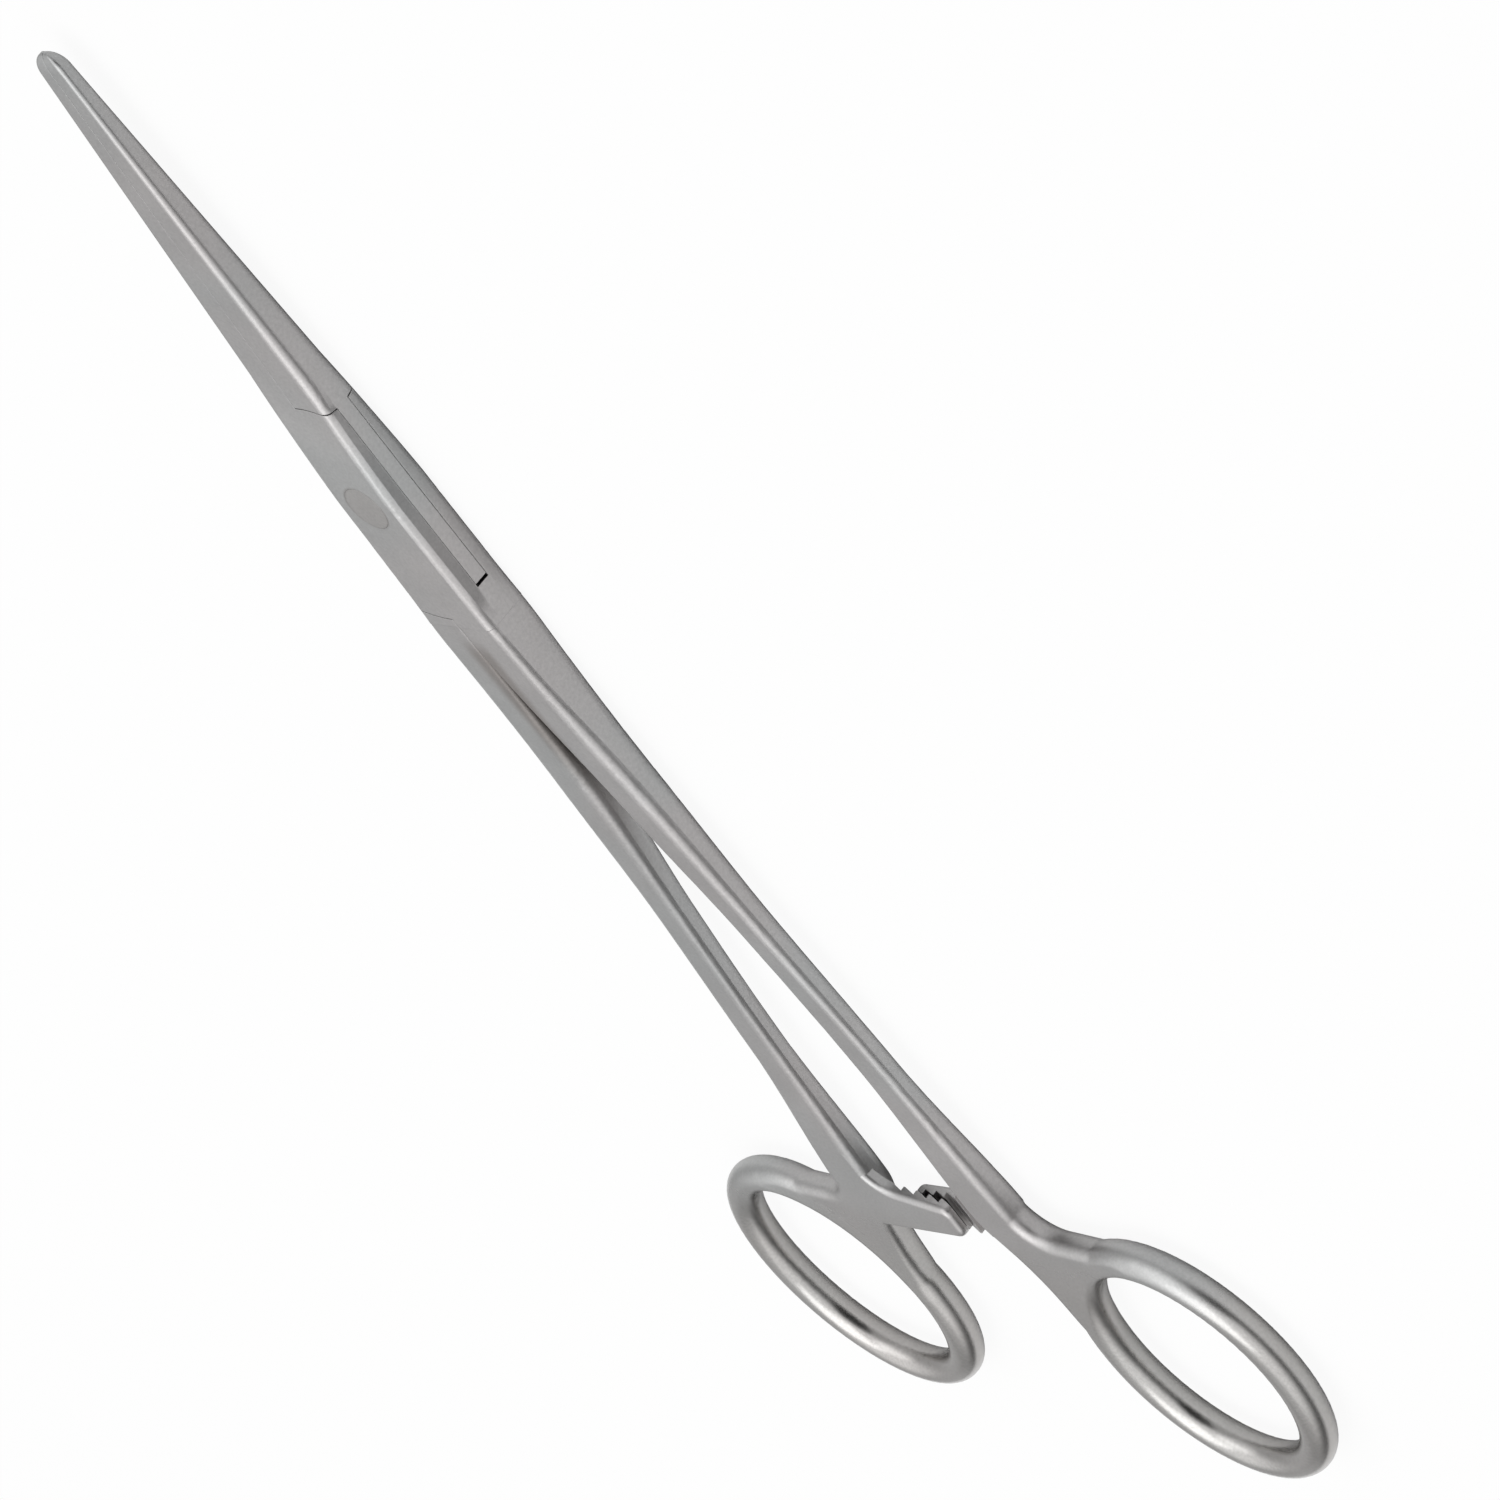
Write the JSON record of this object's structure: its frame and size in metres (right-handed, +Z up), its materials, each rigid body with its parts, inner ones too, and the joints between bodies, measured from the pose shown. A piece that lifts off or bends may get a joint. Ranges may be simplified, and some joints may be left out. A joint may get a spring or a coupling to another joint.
{
  "type": "bowel clamp",
  "caption": "Straight bowel clamp with slim tapering jaws, a box lock, long slender shanks, a ratchet and two oval finger rings.",
  "frame": {"origin": "on the hinge axis, level with the underside of the box lock, which the clamp rests on", "axes": "+Y along the clamp to the jaw tips, +Z up through the flat of the clamp, +X toward the ring of the half that carries the box"},
  "size_m": [0.0888, 0.2003, 0.0055],
  "materials": {
    "satin_steel": "satin, glass-bead blasted, brighter on the rings and edges",
    "pin_steel": "ground flush and satin"
  },
  "bodies": {
    "box_body": {"box_half": "satin_steel", "joint_pin": "pin_steel"},
    "tongue_body": {"tongue_half": "satin_steel"}
  },
  "joints": [
    {"name": "box_lock", "type": "hinge", "parent": "box_body", "child": "tongue_body", "pos_m": [0, 0, 0], "axis": [0, 0, -1], "range_deg": [0, 60]}
  ]
}
